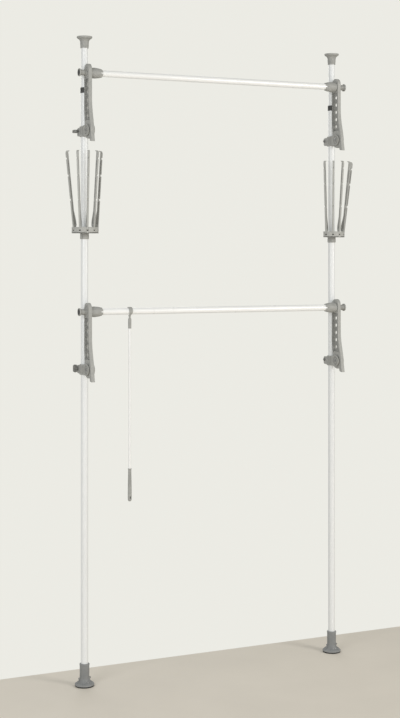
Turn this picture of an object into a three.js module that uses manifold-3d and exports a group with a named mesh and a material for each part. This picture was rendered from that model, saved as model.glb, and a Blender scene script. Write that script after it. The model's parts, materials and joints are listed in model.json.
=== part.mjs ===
// Floor-to-ceiling wardrobe rack: two telescopic tension poles carry two clothes rails on
// swing-down arms, two fan holders with folding blades, and a pull rod that hangs on the
// lower rail. Millimetres, +Z up, +X to the right, the front of the rack faces -Y.
// The origin is on the floor, at the middle of the rack's plan outline.

import * as THREE from 'three';
import { mergeVertices } from 'three/addons/utils/BufferGeometryUtils.js';
import Module from 'manifold-3d';

const wasm = await Module();
wasm.setup();

// ---------------------------------------------------------------- driving dimensions

const GAP = 0.3;
const ROUND = 20;
const SMALL_ROUND = 10;

const POLE_SPACING = 1100;
const CEILING_HEIGHT = 2500;
const LOWER_TUBE_RADIUS = 14;
const UPPER_TUBE_RADIUS = 12.5;
const TUBE_WALL = 1.2;
const LOWER_TUBE_TOPS = { left: 2282, right: 2262 };
const LOCK_HEIGHT = 21;
const TUBE_OVERLAP = 260;

const FOOT_RADIUS = 37.5;
const FOOT_HEIGHT = 87;
const FOOT_RIBS = 6;
const PAD_THICKNESS = 4;
const CAP_RADIUS = 30;
const CAP_HEIGHT = 45;

// Heights of the arm pivots; "forward" is measured from the pole axis towards the front.
const PIVOT_HEIGHTS = { upper: 2136, lower: 1221 };
const PIVOT_FORWARD = 54;
const ARM_REACH = 220;
const ARM_THICKNESS = 14;
const ARM_WIDTH = 49;
const ARM_BORDER = 4;
const RAIL_SETBACK = 15;
const HUB_RADIUS = 33;
const PIN_RADIUS = 4;
const HOLE_PITCH = 30;
const HOLE_COUNT = 5;
const FIRST_HOLE_BELOW_RAIL = 44;
const HOLE_RADIUS = 7.5;
const TAIL_FRONT = 41;
const TAIL_DROP = 45.6;

const RAIL_RADIUS = 12.5;
const SOCKET_LENGTH = 49;
const SOCKET_FLOOR = 4;
const PEG_LENGTH = 31;
const MOUTH_NOTCHES = 6;

const CLAMP_RADIUS = 19;
const CLAMP_HEIGHT = 40;
const CLAMP_DROP = 2.5;
const EAR_RADIUS = 24;
const EAR_THICKNESS = 6.7;
const PINCH_HALF_WIDTH = 16.5;
const PINCH_BACK = 28;
const SCREW_RADIUS = 3;
const WING_SPAN = 31;
const WING_THICKNESS = 10;

const FAN_HEIGHTS = { left: 1742, right: 1733 };
const FAN_HINGE_RADIUS = 50;
const FAN_HINGE_LIFT = 17;
const FAN_TURN = 8;
const BLADE_COUNT = 5;
const BLADE_PITCH = 32;
const BLADE_LENGTH = 300;
const BLADE_DEPTH = 9;
const BLADE_WIDTH = 7;
// Degrees that each blade leans outward, from the outermost blade to the innermost.
const BLADE_LEANS = [7, 5.8, 5, 4.2, 3.3];
const BLADE_NOTCHES = [112, 205, 270];
const BLADE_PIN_RADIUS = 2;

const ROD_OFFSET = 172;
const ROD_RADIUS = 5;
const ROD_LENGTH = 543;
const GRIP_LENGTH = 127;
const TANG_RADIUS = 2.2;

const FRONT_REACH = PIVOT_FORWARD + TAIL_FRONT;
const REAR_REACH = PINCH_BACK + WING_SPAN / 2;
const POLE_Y = (FRONT_REACH - REAR_REACH) / 2;

const SIDES = { left: -1, right: 1 };

// ---------------------------------------------------------------- materials

function finish(colour, roughness, metalness) {
  return new THREE.MeshStandardMaterial({ color: colour, roughness, metalness });
}

const WHITE_ENAMEL = finish(0xdedede, 0.35, 0.1);
const WHITE_RAIL = finish(0xececea, 0.3, 0.1);
const GREY_PLASTIC = finish(0x9a9a96, 0.6, 0);
const BLADE_PLASTIC = finish(0xa2a29e, 0.5, 0);
const DARK_PLASTIC = finish(0x454545, 0.6, 0);
const KNOB_PLASTIC = finish(0x72726e, 0.55, 0);
const RUBBER = finish(0x2c2c2c, 0.9, 0);
const STEEL = finish(0x8d8d8d, 0.35, 0.9);

// ---------------------------------------------------------------- solids

function toSolid(geometry) {
  const bare = geometry.clone();
  bare.deleteAttribute('normal');
  bare.deleteAttribute('uv');
  const merged = mergeVertices(bare, 1e-4);
  const vertProperties = Float32Array.from(merged.attributes.position.array);
  const triVerts = Uint32Array.from(merged.index.array);
  return new wasm.Manifold(new wasm.Mesh({ numProp: 3, vertProperties, triVerts }));
}

function toGeometry(solid) {
  const mesh = solid.getMesh();
  const geometry = new THREE.BufferGeometry();
  geometry.setAttribute('position', new THREE.BufferAttribute(mesh.vertProperties, 3));
  geometry.setIndex(new THREE.BufferAttribute(mesh.triVerts, 1));
  geometry.computeVertexNormals();
  return geometry;
}

// Joins the added geometries to the first one, then takes the cut ones away.
function shape(base, added = [], cut = []) {
  let solid = toSolid(base);
  for (const geometry of added) {
    solid = solid.add(toSolid(geometry));
  }
  for (const geometry of cut) {
    solid = solid.subtract(toSolid(geometry));
  }
  return toGeometry(solid);
}

// Turns a profile of [radius, height] points about +Z; the profile runs up its outer side.
function turned(profile, segments = ROUND) {
  const points = profile.map(([radius, height]) => new THREE.Vector2(radius, height));
  return new THREE.LatheGeometry(points, segments).rotateX(Math.PI / 2);
}

function disc(radius, bottom, top, segments = ROUND) {
  return turned([[0, bottom], [radius, bottom], [radius, top], [0, top]], segments);
}

function ring(inner, outer, bottom, top, segments = ROUND) {
  return turned([[inner, bottom], [outer, bottom], [outer, top], [inner, top], [inner, bottom]], segments);
}

// A round bar along +X from low to high.
function barX(radius, low, high, segments = SMALL_ROUND) {
  return disc(radius, low, high, segments).rotateY(Math.PI / 2);
}

function box(xLow, xHigh, yLow, yHigh, zLow, zHigh) {
  const block = new THREE.BoxGeometry(xHigh - xLow, yHigh - yLow, zHigh - zLow);
  return block.translate((xLow + xHigh) / 2, (yLow + yHigh) / 2, (zLow + zHigh) / 2);
}

const SIDE_VIEW = new THREE.Matrix4().makeBasis(
  new THREE.Vector3(0, -1, 0),
  new THREE.Vector3(0, 0, 1),
  new THREE.Vector3(-1, 0, 0),
);

// Extrudes an outline drawn as (forward, up) into a plate between xLow and xHigh.
function sidePlate(outline, xLow, xHigh, curveSegments = 10) {
  const options = { depth: xHigh - xLow, bevelEnabled: false, curveSegments };
  const plate = new THREE.ExtrudeGeometry(outline, options).applyMatrix4(SIDE_VIEW);
  return plate.translate(xHigh, 0, 0);
}

function outlineOf(points) {
  return new THREE.Shape(points.map(([forward, up]) => new THREE.Vector2(forward, up)));
}

// ---------------------------------------------------------------- scene graph

const rack = new THREE.Group();

function addMesh(parent, name, geometry, material) {
  const mesh = new THREE.Mesh(geometry, material);
  mesh.name = name;
  parent.add(mesh);
  return mesh;
}

function addGroup(parent, x, y, z) {
  const group = new THREE.Group();
  group.position.set(x, y, z);
  parent.add(group);
  return group;
}

// ---------------------------------------------------------------- pole pieces

const footRim = PAD_THICKNESS + GAP;
const footFloor = 8;

function footGeometry() {
  const bore = LOWER_TUBE_RADIUS + GAP;
  const body = turned([
    [0, footRim], [FOOT_RADIUS, footRim], [FOOT_RADIUS, 9], [34, 11], [26, 15], [21, 21], [18.5, 29],
    [18.5, FOOT_HEIGHT - 2], [17.2, FOOT_HEIGHT], [bore, FOOT_HEIGHT], [bore, footFloor], [0, footFloor],
  ]);
  const rib = outlineOf([[17.5, 9], [35, 9], [35, 12.5], [24, 20], [20, 31], [17.5, 31]]);
  const ribs = [];
  for (let i = 0; i < FOOT_RIBS; i += 1) {
    ribs.push(sidePlate(rib, -1.2, 1.2).rotateZ((i + 0.5) * 2 * Math.PI / FOOT_RIBS));
  }
  return shape(body, ribs);
}

function footPadGeometry() {
  return turned([[0, 0], [FOOT_RADIUS - 1.5, 0], [FOOT_RADIUS - 0.5, 1], [FOOT_RADIUS - 0.5, PAD_THICKNESS],
    [0, PAD_THICKNESS]]);
}

function ceilingCapGeometry() {
  const bottom = CEILING_HEIGHT - CAP_HEIGHT;
  const bore = UPPER_TUBE_RADIUS + GAP;
  const boreTop = CEILING_HEIGHT - 8;
  return turned([
    [bore, bottom], [16, bottom], [17, CEILING_HEIGHT - 19], [20.5, CEILING_HEIGHT - 12],
    [CAP_RADIUS, CEILING_HEIGHT - 6], [CAP_RADIUS, CEILING_HEIGHT], [0, CEILING_HEIGHT], [0, boreTop],
    [bore, boreTop], [bore, bottom],
  ]);
}

function tubeLockGeometry(tubeTop) {
  const bore = UPPER_TUBE_RADIUS + GAP;
  const bottom = tubeTop + GAP;
  const collar = ring(bore, 16, bottom, bottom + LOCK_HEIGHT);
  const lever = box(-7, 7, 13.5, 19, bottom + 3, bottom + LOCK_HEIGHT - 3);
  const frontFlat = box(-20, 20, -20, -LOWER_TUBE_RADIUS + GAP, bottom - 1, bottom + LOCK_HEIGHT + 1);
  return shape(collar, [lever], [frontFlat]);
}

function addPole(name, side) {
  const pole = addGroup(rack, side * POLE_SPACING / 2, POLE_Y, 0);
  const lowerBore = LOWER_TUBE_RADIUS - TUBE_WALL;
  const upperBore = UPPER_TUBE_RADIUS - TUBE_WALL;
  const tubeTop = LOWER_TUBE_TOPS[name];
  const lowerTube = ring(lowerBore, LOWER_TUBE_RADIUS, footFloor + GAP, tubeTop);
  const upperTop = CEILING_HEIGHT - 8 - GAP;
  const upperTube = ring(upperBore, UPPER_TUBE_RADIUS, tubeTop - TUBE_OVERLAP, upperTop);
  addMesh(pole, `${name}_foot_pad`, shape(footPadGeometry()), RUBBER);
  addMesh(pole, `${name}_foot`, footGeometry(), GREY_PLASTIC);
  addMesh(pole, `${name}_lower_tube`, shape(lowerTube), WHITE_ENAMEL);
  addMesh(pole, `${name}_tube_lock`, tubeLockGeometry(tubeTop), DARK_PLASTIC);
  addMesh(pole, `${name}_upper_tube`, shape(upperTube), WHITE_ENAMEL);
  addMesh(pole, `${name}_ceiling_cap`, shape(ceilingCapGeometry()), GREY_PLASTIC);
}

// ---------------------------------------------------------------- clamp and its screw
// These pieces are drawn about the point on the pole axis at pivot height.

const halfArm = ARM_THICKNESS / 2;
const earInner = halfArm + GAP;
const earOuter = earInner + EAR_THICKNESS;

function earOutline() {
  const outline = new THREE.Shape();
  const lean = THREE.MathUtils.degToRad(80);
  outline.moveTo(8, 16);
  outline.lineTo(8, -20);
  outline.lineTo(30, -22);
  outline.absarc(PIVOT_FORWARD, 0, EAR_RADIUS, -Math.PI + lean, Math.PI - lean, false);
  outline.lineTo(30, 20);
  return outline;
}

function clampGeometry() {
  const low = -CLAMP_DROP - CLAMP_HEIGHT / 2;
  const high = low + CLAMP_HEIGHT;
  const bore = disc(LOWER_TUBE_RADIUS + GAP, low - 1, high + 1);
  const collar = disc(CLAMP_RADIUS, low, high);
  const ears = [-1, 1].map((sign) => {
    const near = sign * earInner;
    const far = sign * earOuter;
    return sidePlate(earOutline(), Math.min(near, far), Math.max(near, far), 6);
  });
  const pinchOutline = outlineOf([[-10, high - 3], [-34, high - 5], [-38, high - 9], [-38, low + 9],
    [-34, low + 4], [-10, low + 2]]);
  const pinch = sidePlate(pinchOutline, -PINCH_HALF_WIDTH, PINCH_HALF_WIDTH);
  const slit = box(-1.2, 1.2, 10, 45, low - 1, high + 1);
  const screwHole = barX(SCREW_RADIUS + GAP, -30, 30).translate(0, PINCH_BACK, 0);
  const pinHole = barX(PIN_RADIUS + GAP, -30, 30).translate(0, -PIVOT_FORWARD, 0);
  return shape(collar, [...ears, pinch], [bore, slit, screwHole, pinHole]);
}

function pivotPinGeometry() {
  const reach = earOuter + GAP;
  const shank = barX(PIN_RADIUS, -reach - 1, reach + 1);
  const heads = [-1, 1].map((sign) => {
    const centre = sign * (reach + 1.2);
    return barX(7, centre - 1.2, centre + 1.2);
  });
  return shape(shank, heads);
}

// The screw runs along X; its wings stand on the outer side, turned by the given angle.
function wingScrewGeometry(side, turn) {
  const shank = barX(SCREW_RADIUS, -PINCH_HALF_WIDTH - 7, PINCH_HALF_WIDTH + 6);
  const hub = turned([[0, 18], [5, 18], [6.5, 22], [6.5, 29], [5, 31], [0, 31]], SMALL_ROUND);
  const tip = WING_SPAN / 2;
  const half = [[5, 18.5], [8.5, 21.8], [tip - 2.5, 21.5], [tip, 25], [tip - 0.5, 31.5], [tip - 5, 35.5]];
  const mirrored = half.map(([along, out]) => [-along, out]).reverse();
  const blade = new THREE.ExtrudeGeometry(outlineOf([...half, ...mirrored]), {
    depth: WING_THICKNESS,
    bevelEnabled: false,
  });
  blade.translate(0, 0, -WING_THICKNESS / 2).rotateX(Math.PI / 2).rotateZ(turn);
  const head = shape(hub, [blade]).rotateY(Math.PI / 2);
  const screw = shape(shank, [head]);
  return side < 0 ? screw.rotateZ(Math.PI) : screw;
}

function pinchNutGeometry(side) {
  const low = PINCH_HALF_WIDTH + GAP;
  const hexagon = disc(6, low, low + 4.5, 6);
  const thread = disc(SCREW_RADIUS + GAP, low - 1, low + 6, SMALL_ROUND);
  return shape(hexagon, [], [thread]).rotateY((-side * Math.PI) / 2);
}

// ---------------------------------------------------------------- swing arm
// Drawn about the pivot axis, as the arm stands upright: forward and up from the pivot.

const barFront = ARM_WIDTH / 2 - RAIL_SETBACK;
const barRear = -ARM_WIDTH / 2 - RAIL_SETBACK;
const barEndHeight = ARM_REACH + 10;
const topHole = ARM_REACH - FIRST_HOLE_BELOW_RAIL;
const holeHeights = Array.from({ length: HOLE_COUNT }, (_, i) => topHole - i * HOLE_PITCH);

function armOutline() {
  const outline = new THREE.Shape();
  outline.moveTo(barFront, barEndHeight);
  outline.absarc(-RAIL_SETBACK, barEndHeight, ARM_WIDTH / 2, 0, Math.PI, false);
  outline.lineTo(barRear, 85);
  outline.bezierCurveTo(barRear, 58, -HUB_RADIUS, 45, -HUB_RADIUS, 0);
  outline.absarc(0, 0, HUB_RADIUS, Math.PI, Math.PI * 1.68, false);
  outline.lineTo(22.5, -TAIL_DROP + 2.7);
  outline.lineTo(TAIL_FRONT, -TAIL_DROP);
  outline.lineTo(HUB_RADIUS + 0.8, -12);
  outline.bezierCurveTo(HUB_RADIUS + 0.8, 30, barFront, 70, barFront, 125);
  return outline;
}

// The hollow between the arm's borders, above the hub.
function armPocketOutline() {
  const outline = new THREE.Shape();
  const front = barFront - ARM_BORDER;
  const rear = barRear + ARM_BORDER;
  outline.moveTo(front, ARM_REACH - 24);
  outline.lineTo(rear, ARM_REACH - 24);
  outline.lineTo(rear, 85);
  outline.bezierCurveTo(rear, 68, -31, 54, -28, 40);
  outline.lineTo(18, 40);
  outline.bezierCurveTo(12, 60, front, 90, front, 125);
  return outline;
}

function armGeometry(side) {
  const outerDepth = 9.5;
  const innerDepth = 2.5;
  const plate = sidePlate(armOutline(), -halfArm, halfArm, 6);
  const pocket = armPocketOutline();
  const outerPocket = sidePlate(pocket, halfArm - outerDepth, halfArm + 1, 4);
  const innerPocket = sidePlate(pocket, -halfArm - 1, -halfArm + innerDepth, 4);
  const ribs = [];
  const ribSpan = ARM_WIDTH - 6;
  const ribLength = Math.hypot(ribSpan, HOLE_PITCH);
  for (const height of holeHeights.slice(0, -1)) {
    for (const sign of [-1, 1]) {
      const slope = Math.atan2(HOLE_PITCH, ribSpan) * sign;
      const rib = box(halfArm - outerDepth - 0.5, halfArm - 3, -ribLength / 2, ribLength / 2, -1.2, 1.2);
      ribs.push(rib.rotateX(slope).translate(0, RAIL_SETBACK, height - HOLE_PITCH / 2));
    }
  }
  const hole = barX(HOLE_RADIUS, -10, 10).translate(0, RAIL_SETBACK, 0);
  const holes = holeHeights.map((height) => hole.clone().translate(0, 0, height));
  const pinHole = barX(PIN_RADIUS + GAP, -10, 10);
  const hollowed = shape(plate, [], [outerPocket, innerPocket]);
  const arm = shape(hollowed, ribs, [...holes, pinHole]);
  return side < 0 ? arm.applyMatrix4(new THREE.Matrix4().makeScale(-1, 1, 1)) : arm;
}

// A mirrored mesh has its faces turned inside out, so each triangle is wound back.
function rewound(geometry) {
  const { array } = geometry.index;
  for (let i = 0; i < array.length; i += 3) {
    const second = array[i + 1];
    array[i + 1] = array[i + 2];
    array[i + 2] = second;
  }
  geometry.computeVertexNormals();
  return geometry;
}

// The rail's end socket, opening towards +X, with notches cut in its mouth.
function socketGeometry() {
  const bore = RAIL_RADIUS + GAP;
  const body = turned([
    [0, 0], [21, 0], [21, 20], [18.5, 37], [15.2, SOCKET_LENGTH], [bore, SOCKET_LENGTH],
    [bore, SOCKET_FLOOR], [0, SOCKET_FLOOR],
  ], 18);
  const notches = [];
  for (let i = 0; i < MOUTH_NOTCHES; i += 1) {
    const wedge = new THREE.Shape();
    wedge.moveTo(0, SOCKET_LENGTH - 13);
    wedge.lineTo(4.2, SOCKET_LENGTH + 1);
    wedge.lineTo(-4.2, SOCKET_LENGTH + 1);
    const cutter = new THREE.ExtrudeGeometry(wedge, { depth: 18, bevelEnabled: false });
    notches.push(cutter.rotateX(Math.PI / 2).translate(0, -6, 0).rotateZ((i * 2 * Math.PI) / MOUTH_NOTCHES));
  }
  return shape(body, [], notches).rotateY(Math.PI / 2);
}

// The peg on the arm's outer face, standing out along +X.
function pegGeometry() {
  const flange = PEG_LENGTH - 6;
  return shape(turned([
    [0, 0], [12.5, 0], [11, 3.5], [11, flange - 1], [15, flange + 0.8], [15, PEG_LENGTH], [0, PEG_LENGTH],
  ], 16)).rotateY(Math.PI / 2);
}

function addLevel(level) {
  const height = PIVOT_HEIGHTS[level];
  const wingTurn = level === 'upper' ? Math.PI / 2 : 0;
  for (const [name, side] of Object.entries(SIDES)) {
    const clamp = addGroup(rack, side * POLE_SPACING / 2, POLE_Y, height);
    addMesh(clamp, `${level}_${name}_clamp`, clampGeometry(), GREY_PLASTIC);
    const pin = addMesh(clamp, `${level}_${name}_pivot_pin`, pivotPinGeometry(), STEEL);
    pin.position.y = -PIVOT_FORWARD;
    const wingScrew = wingScrewGeometry(side, wingTurn);
    const screw = addMesh(clamp, `${level}_${name}_wing_screw`, wingScrew, KNOB_PLASTIC);
    screw.position.y = PINCH_BACK;
    const nut = addMesh(clamp, `${level}_${name}_pinch_nut`, pinchNutGeometry(side), STEEL);
    nut.position.y = PINCH_BACK;

    const swing = addGroup(clamp, 0, -PIVOT_FORWARD, 0);
    const arm = armGeometry(side);
    addMesh(swing, `${level}_${name}_arm`, side < 0 ? rewound(arm) : arm, GREY_PLASTIC);
    const railEnd = addGroup(swing, 0, RAIL_SETBACK, ARM_REACH);
    const socket = addMesh(railEnd, `${level}_${name}_rail_socket`, socketGeometry(), GREY_PLASTIC);
    socket.position.x = -side * (halfArm + GAP);
    socket.rotation.z = side < 0 ? 0 : Math.PI;
    const peg = addMesh(railEnd, `${level}_${name}_peg`, pegGeometry(), GREY_PLASTIC);
    peg.position.x = side * (halfArm + GAP);
    peg.rotation.z = side < 0 ? Math.PI : 0;
  }
  const railHalf = POLE_SPACING / 2 - halfArm - GAP - SOCKET_FLOOR - GAP;
  const rail = ring(RAIL_RADIUS - TUBE_WALL, RAIL_RADIUS, -railHalf, railHalf).rotateY(Math.PI / 2);
  const railMesh = addMesh(rack, `${level}_rail`, shape(rail), WHITE_RAIL);
  railMesh.position.set(0, POLE_Y - PIVOT_FORWARD + RAIL_SETBACK, height + ARM_REACH);
}

// ---------------------------------------------------------------- fan holder
// Drawn about the pole axis; the fan opens forward before it is turned outward.

const wallInner = FAN_HINGE_RADIUS - 5;
const wallOuter = FAN_HINGE_RADIUS + 4;
const slotHalf = BLADE_WIDTH / 2 + GAP;

function bladeAngle(index) {
  return THREE.MathUtils.degToRad((index - (BLADE_COUNT - 1) / 2) * BLADE_PITCH);
}

function sectorOutline(inner, outer, halfAngle) {
  const outline = new THREE.Shape();
  outline.absarc(0, 0, outer, -Math.PI / 2 - halfAngle, -Math.PI / 2 + halfAngle, false);
  outline.absarc(0, 0, inner, -Math.PI / 2 + halfAngle, -Math.PI / 2 - halfAngle, true);
  return outline;
}

function fanHubGeometry() {
  const half = THREE.MathUtils.degToRad(78);
  const bore = LOWER_TUBE_RADIUS + GAP;
  const floorOutline = sectorOutline(16, wallOuter, half);
  const wallOutline = sectorOutline(wallInner, wallOuter, half);
  const floor = new THREE.ExtrudeGeometry(floorOutline, { depth: 5, bevelEnabled: false, curveSegments: 8 });
  const wall = new THREE.ExtrudeGeometry(wallOutline, { depth: 24, bevelEnabled: false, curveSegments: 8 });
  const collar = ring(bore, 20, 0, 24);
  const pinHole = barX(BLADE_PIN_RADIUS + 2 * GAP, -8, 8, 6).translate(0, -FAN_HINGE_RADIUS, FAN_HINGE_LIFT);
  const slot = box(-slotHalf, slotHalf, -70, -wallInner + 8, 9, 30);
  const cuts = [];
  for (let i = 0; i < BLADE_COUNT; i += 1) {
    cuts.push(slot.clone().rotateZ(bladeAngle(i)), pinHole.clone().rotateZ(bladeAngle(i)));
  }
  return shape(collar, [floor, wall], cuts);
}

function fanCollarGeometry() {
  const bore = LOWER_TUBE_RADIUS + GAP;
  const body = turned([[bore, -22], [15.6, -22], [17, -20], [17, -GAP], [bore, -GAP], [bore, -22]]);
  const slits = [];
  for (let i = 0; i < 4; i += 1) {
    slits.push(box(-0.8, 0.8, 10, 20, -23, -8).rotateZ((i + 0.5) * Math.PI / 2));
  }
  return shape(body, [], slits);
}

// A blade about its hinge pin, standing straight up: forward is the side that faces out.
function bladeGeometry() {
  const half = BLADE_DEPTH / 2;
  const outline = new THREE.Shape();
  outline.absarc(0, 0, half, Math.PI, 2 * Math.PI, false);
  for (const height of BLADE_NOTCHES) {
    outline.lineTo(half, height - 4);
    outline.lineTo(half - 4, height - 2);
    outline.lineTo(half - 4, height + 2);
    outline.lineTo(half, height + 4);
  }
  outline.lineTo(half, BLADE_LENGTH - 10);
  outline.lineTo(half - 1.5, BLADE_LENGTH - 4);
  outline.lineTo(half - 5, BLADE_LENGTH - 0.5);
  outline.lineTo(-half - 6, BLADE_LENGTH);
  outline.lineTo(-half - 6, BLADE_LENGTH - 2.5);
  outline.lineTo(-half + 0.5, BLADE_LENGTH - 5);
  outline.lineTo(-half, BLADE_LENGTH - 9);
  outline.lineTo(-half, 70);
  outline.lineTo(-half - 6, 30);
  outline.lineTo(-half - 6, 14);
  const spine = sidePlate(outline, -BLADE_WIDTH / 2, BLADE_WIDTH / 2, 3);
  const pin = barX(BLADE_PIN_RADIUS, -BLADE_WIDTH / 2 - 3.5, BLADE_WIDTH / 2 + 3.5, 6);
  return shape(spine, [pin]);
}

function addFan(name, side) {
  const fan = addGroup(rack, side * POLE_SPACING / 2, POLE_Y, FAN_HEIGHTS[name]);
  addMesh(fan, `${name}_fan_collar`, fanCollarGeometry(), GREY_PLASTIC);
  const turn = new THREE.Group();
  turn.rotation.z = THREE.MathUtils.degToRad(side * FAN_TURN);
  fan.add(turn);
  addMesh(turn, `${name}_fan_hub`, fanHubGeometry(), GREY_PLASTIC);
  for (let i = 0; i < BLADE_COUNT; i += 1) {
    const spoke = new THREE.Group();
    spoke.rotation.z = bladeAngle(i);
    turn.add(spoke);
    const blade = addMesh(spoke, `${name}_fan_blade_${i + 1}`, bladeGeometry(), BLADE_PLASTIC);
    blade.position.set(0, -FAN_HINGE_RADIUS, FAN_HINGE_LIFT);
    const rank = side < 0 ? i : BLADE_COUNT - 1 - i;
    blade.rotation.x = THREE.MathUtils.degToRad(BLADE_LEANS[rank]);
  }
}

// ---------------------------------------------------------------- pull rod
// Drawn about the lower rail's axis, hanging plumb.

const hookNeck = -27;
const ferruleTop = hookNeck + 4;
const ferruleBottom = ferruleTop - 44;
const rodBottom = ferruleBottom - ROD_LENGTH;

function hookGeometry() {
  const inner = RAIL_RADIUS + GAP;
  const outer = inner + 4;
  const outline = new THREE.Shape();
  const mouth = THREE.MathUtils.degToRad(195);
  const base = THREE.MathUtils.degToRad(-75);
  outline.absarc(0, 0, outer, base, mouth, false);
  outline.absarc(0, 0, inner, mouth, THREE.MathUtils.degToRad(-100), true);
  outline.lineTo(-4.5, -18);
  outline.lineTo(-TANG_RADIUS, hookNeck + 6);
  outline.lineTo(TANG_RADIUS, hookNeck + 6);
  outline.lineTo(4.5, -18);
  const band = sidePlate(outline, -7, 7, 14);
  const besideNeck = [-8, 4.5].map((low) => box(low, low + 3.5, -6, 6, hookNeck, -17));
  const tang = disc(TANG_RADIUS, hookNeck - 8, -19, SMALL_ROUND);
  return shape(shape(band, [], besideNeck), [tang]);
}

function addPullRod() {
  const x = -POLE_SPACING / 2 + ROD_OFFSET;
  const rod = addGroup(rack, x, POLE_Y - PIVOT_FORWARD + RAIL_SETBACK, PIVOT_HEIGHTS.lower + ARM_REACH);
  addMesh(rod, 'pull_rod_hook', hookGeometry(), GREY_PLASTIC);
  const shaftTop = ferruleTop - 24;
  const tangBore = TANG_RADIUS + GAP;
  const shaftBore = ROD_RADIUS + GAP;
  const ferrule = turned([
    [shaftBore, ferruleBottom], [6.3, ferruleBottom], [6.3, ferruleTop - 9], [3.4, ferruleTop],
    [tangBore, ferruleTop], [tangBore, ferruleTop - 13], [0, ferruleTop - 13], [0, shaftTop],
    [shaftBore, shaftTop], [shaftBore, ferruleBottom],
  ], 16);
  addMesh(rod, 'pull_rod_ferrule', shape(ferrule), GREY_PLASTIC);
  const tubeLow = rodBottom - 20;
  addMesh(rod, 'pull_rod_tube', shape(disc(ROD_RADIUS, tubeLow, shaftTop - GAP, 16)), WHITE_RAIL);
  const gripLow = rodBottom - GRIP_LENGTH;
  const grip = turned([
    [0, gripLow], [4, gripLow + 0.8], [7, gripLow + 5], [7.7, gripLow + 14], [7.7, gripLow + 40],
    [6.1, rodBottom - 9], [6.4, rodBottom - 4], [7.2, rodBottom - 2], [7.2, rodBottom],
    [shaftBore, rodBottom], [shaftBore, tubeLow - GAP], [0, tubeLow - GAP],
  ], 16);
  const slot = box(-2, 2, -10, 10, gripLow + 9, gripLow + 20);
  addMesh(rod, 'pull_rod_grip', shape(grip, [], [slot]), GREY_PLASTIC);
}

// ---------------------------------------------------------------- assembly

for (const [name, side] of Object.entries(SIDES)) {
  addPole(name, side);
  addFan(name, side);
}
addLevel('upper');
addLevel('lower');
addPullRod();

export default rack;
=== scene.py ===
"""Looks for the floor-to-ceiling rack: two tension poles with two swing-down clothes rails,
two fan holders and a pull rod. Every piece is drawn in millimetres about its own axis, then
placed in the frame's metres on the CAD body that it moves with."""

import json
import math

import bmesh
import bpy
from mathutils import Matrix, Vector

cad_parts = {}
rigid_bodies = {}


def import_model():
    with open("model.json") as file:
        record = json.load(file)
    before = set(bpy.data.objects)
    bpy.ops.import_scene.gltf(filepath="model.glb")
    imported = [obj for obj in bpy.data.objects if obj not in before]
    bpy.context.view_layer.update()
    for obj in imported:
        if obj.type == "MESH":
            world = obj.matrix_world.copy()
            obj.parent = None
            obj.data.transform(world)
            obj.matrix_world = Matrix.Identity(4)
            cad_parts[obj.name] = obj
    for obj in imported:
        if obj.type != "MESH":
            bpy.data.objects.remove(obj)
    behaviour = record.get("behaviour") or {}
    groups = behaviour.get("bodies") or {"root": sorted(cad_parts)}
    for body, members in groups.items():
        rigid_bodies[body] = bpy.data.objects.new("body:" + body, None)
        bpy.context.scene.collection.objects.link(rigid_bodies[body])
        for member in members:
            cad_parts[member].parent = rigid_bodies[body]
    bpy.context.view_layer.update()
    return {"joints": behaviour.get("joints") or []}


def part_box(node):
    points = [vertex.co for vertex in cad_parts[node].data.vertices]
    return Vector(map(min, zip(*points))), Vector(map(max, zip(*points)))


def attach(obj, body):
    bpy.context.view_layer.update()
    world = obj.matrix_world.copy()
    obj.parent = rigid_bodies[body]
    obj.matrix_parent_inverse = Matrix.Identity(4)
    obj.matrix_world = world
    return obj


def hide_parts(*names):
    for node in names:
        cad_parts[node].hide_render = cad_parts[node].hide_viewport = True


MM = 0.001
GAP = 0.3
SIDES = {"left": -1, "right": 1}
LEVELS = ("upper", "lower")
SHARP_ANGLE = math.radians(34)

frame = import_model()
joints = {joint["name"]: joint for joint in frame["joints"]}
scene = bpy.context.scene


def middle(node):
    low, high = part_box(node)
    return (low + high) / 2


# ---------------------------------------------------------------- outlines


def arc(centre, radius, start, end, steps=16):
    """Points on an arc about a centre, from one angle in degrees to another."""
    points = []
    for i in range(steps + 1):
        angle = math.radians(start + (end - start) * i / steps)
        points.append((centre[0] + radius * math.cos(angle), centre[1] + radius * math.sin(angle)))
    return points


def bezier(start, first, second, end, steps=12):
    """Points on a curve after its start, up to and with its end."""
    points = []
    for i in range(1, steps + 1):
        t = i / steps
        s = 1 - t
        weights = (s**3, 3 * s * s * t, 3 * s * t * t, t**3)
        corners = (start, first, second, end)
        points.append(tuple(sum(w * c[k] for w, c in zip(weights, corners)) for k in (0, 1)))
    return points


def fillet(points, radius, steps=3, on_axis=False):
    """Rounds the corners of a closed outline. A third number on a point is its own radius."""
    rounded = []
    count = len(points)
    for i, point in enumerate(points):
        corner = Vector(point[:2])
        back = Vector(points[i - 1][:2]) - corner
        ahead = Vector(points[(i + 1) % count][:2]) - corner
        own = point[2] if len(point) > 2 else radius
        if own == 0 or (on_axis and abs(corner.x) < 1e-6) or min(back.length, ahead.length) < 1e-6:
            rounded.append(tuple(corner))
            continue
        turn = math.pi - back.angle(ahead)
        if turn < math.radians(14):
            rounded.append(tuple(corner))
            continue
        reach = min(own * math.tan(turn / 2), 0.45 * back.length, 0.45 * ahead.length)
        first = corner + back.normalized() * reach
        last = corner + ahead.normalized() * reach
        for k in range(steps + 1):
            t = k / steps
            rounded.append(tuple(first.lerp(corner, t).lerp(corner.lerp(last, t), t)))
    return rounded


# ---------------------------------------------------------------- solids, in millimetres


def to_mesh(bm):
    bmesh.ops.recalc_face_normals(bm, faces=bm.faces)
    mesh = bpy.data.meshes.new("solid")
    bm.to_mesh(mesh)
    bm.free()
    return mesh


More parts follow.
